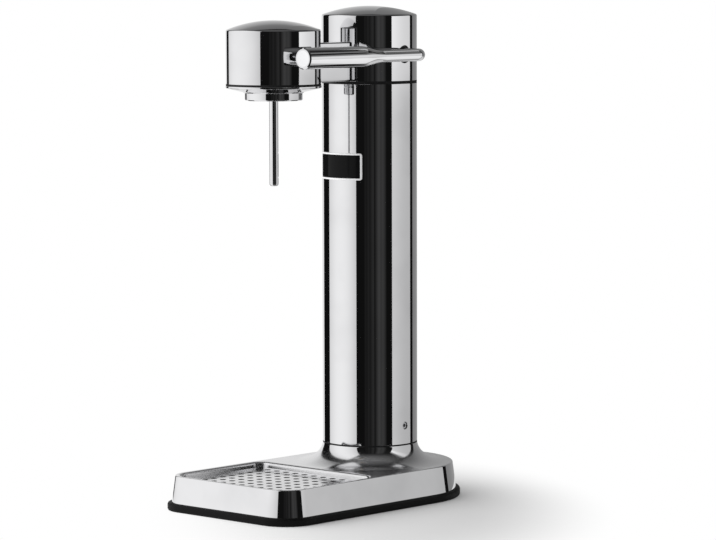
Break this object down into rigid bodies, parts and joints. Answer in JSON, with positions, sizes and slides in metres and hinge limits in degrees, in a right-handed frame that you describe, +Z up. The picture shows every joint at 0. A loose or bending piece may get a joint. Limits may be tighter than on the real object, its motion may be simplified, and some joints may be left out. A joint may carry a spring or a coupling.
{
  "type": "sparkling water maker",
  "caption": "Countertop sparkling water maker in polished steel: a round column on a base with a sunk drip tray, a bridge to the dispensing head over the tray, and a side lever.",
  "frame": {"origin": "under the middle of the base, on the surface that the rubber foot stands on", "axes": "+Z up, the front with the drip tray and the dispensing head towards -Y, the lever's side towards +X"},
  "size_m": [0.153, 0.258, 0.414],
  "materials": {
    "polished_steel": "mirror polished stainless steel",
    "plain_steel": "plain zinc plated or turned steel",
    "cast_aluminium": "die cast, as it comes from the mould",
    "brass": "turned brass",
    "black_rubber": "matte moulded rubber",
    "black_plastic": "satin moulded plastic",
    "black_gloss": "glossy black face, left bare",
    "cylinder_paint": "satin grey powder coat"
  },
  "bodies": {
    "stand": {"base_shell": "polished_steel", "rubber_foot": "black_rubber", "base_plate": "black_plastic", "foot_spigot": "cast_aluminium", "foot_set_screw": "plain_steel", "foot_gasket": "black_rubber", "plate_screw_1": "plain_steel", "plate_screw_2": "plain_steel", "plate_screw_3": "plain_steel", "plate_screw_4": "plain_steel", "spigot_screw_1": "plain_steel", "spigot_screw_2": "plain_steel", "spigot_screw_3": "plain_steel", "column_tube": "polished_steel", "badge_frame": "polished_steel", "badge_plate": "black_gloss", "gas_cylinder": "cylinder_paint", "cylinder_valve": "brass", "column_gasket": "black_rubber", "top_frame": "cast_aluminium", "valve_block": "brass", "block_seal": "black_rubber", "return_spring": "plain_steel", "gas_pipe": "plain_steel", "block_screw_1": "plain_steel", "block_screw_2": "plain_steel", "block_screw_3": "plain_steel", "lever_bush": "black_plastic", "shaft_bearing": "black_plastic", "cap_shell": "polished_steel", "bridge_cover": "polished_steel", "head_shell": "polished_steel", "head_gasket": "black_rubber", "head_ring": "polished_steel", "bottle_collar": "polished_steel", "bottle_seal": "black_rubber", "collar_nut": "plain_steel", "carbonation_body": "brass", "relief_valve": "brass", "nozzle_tube": "polished_steel", "head_screw_1": "plain_steel", "head_screw_2": "plain_steel", "head_screw_3": "plain_steel"},
    "lever": {"lever": "polished_steel", "lever_cam": "plain_steel", "shaft_clip": "plain_steel"},
    "plunger": {"plunger": "plain_steel", "valve_pin": "plain_steel"},
    "drip_grid": {"drip_grid": "polished_steel"}
  },
  "joints": [
    {"name": "lever_pivot", "type": "hinge", "parent": "stand", "child": "lever", "pos_m": [0, 0.0525, 0.374], "axis": [1, 0, 0], "range_deg": [0, 45], "stiffness_Nm_per_rad": 2, "springref_deg": -20.05},
    {"name": "plunger_slide", "type": "slide", "parent": "stand", "child": "plunger", "axis": [0, 0, -1], "range_m": [0, 0.003], "deforming": ["return_spring"]},
    {"name": "grid_lift", "type": "slide", "parent": "stand", "child": "drip_grid", "axis": [0, 0, 1], "range_m": [0, 0.06]}
  ],
  "couplings": [
    {"joint": "plunger_slide", "follows": "lever_pivot", "m_per_rad": 0.0038197}
  ]
}
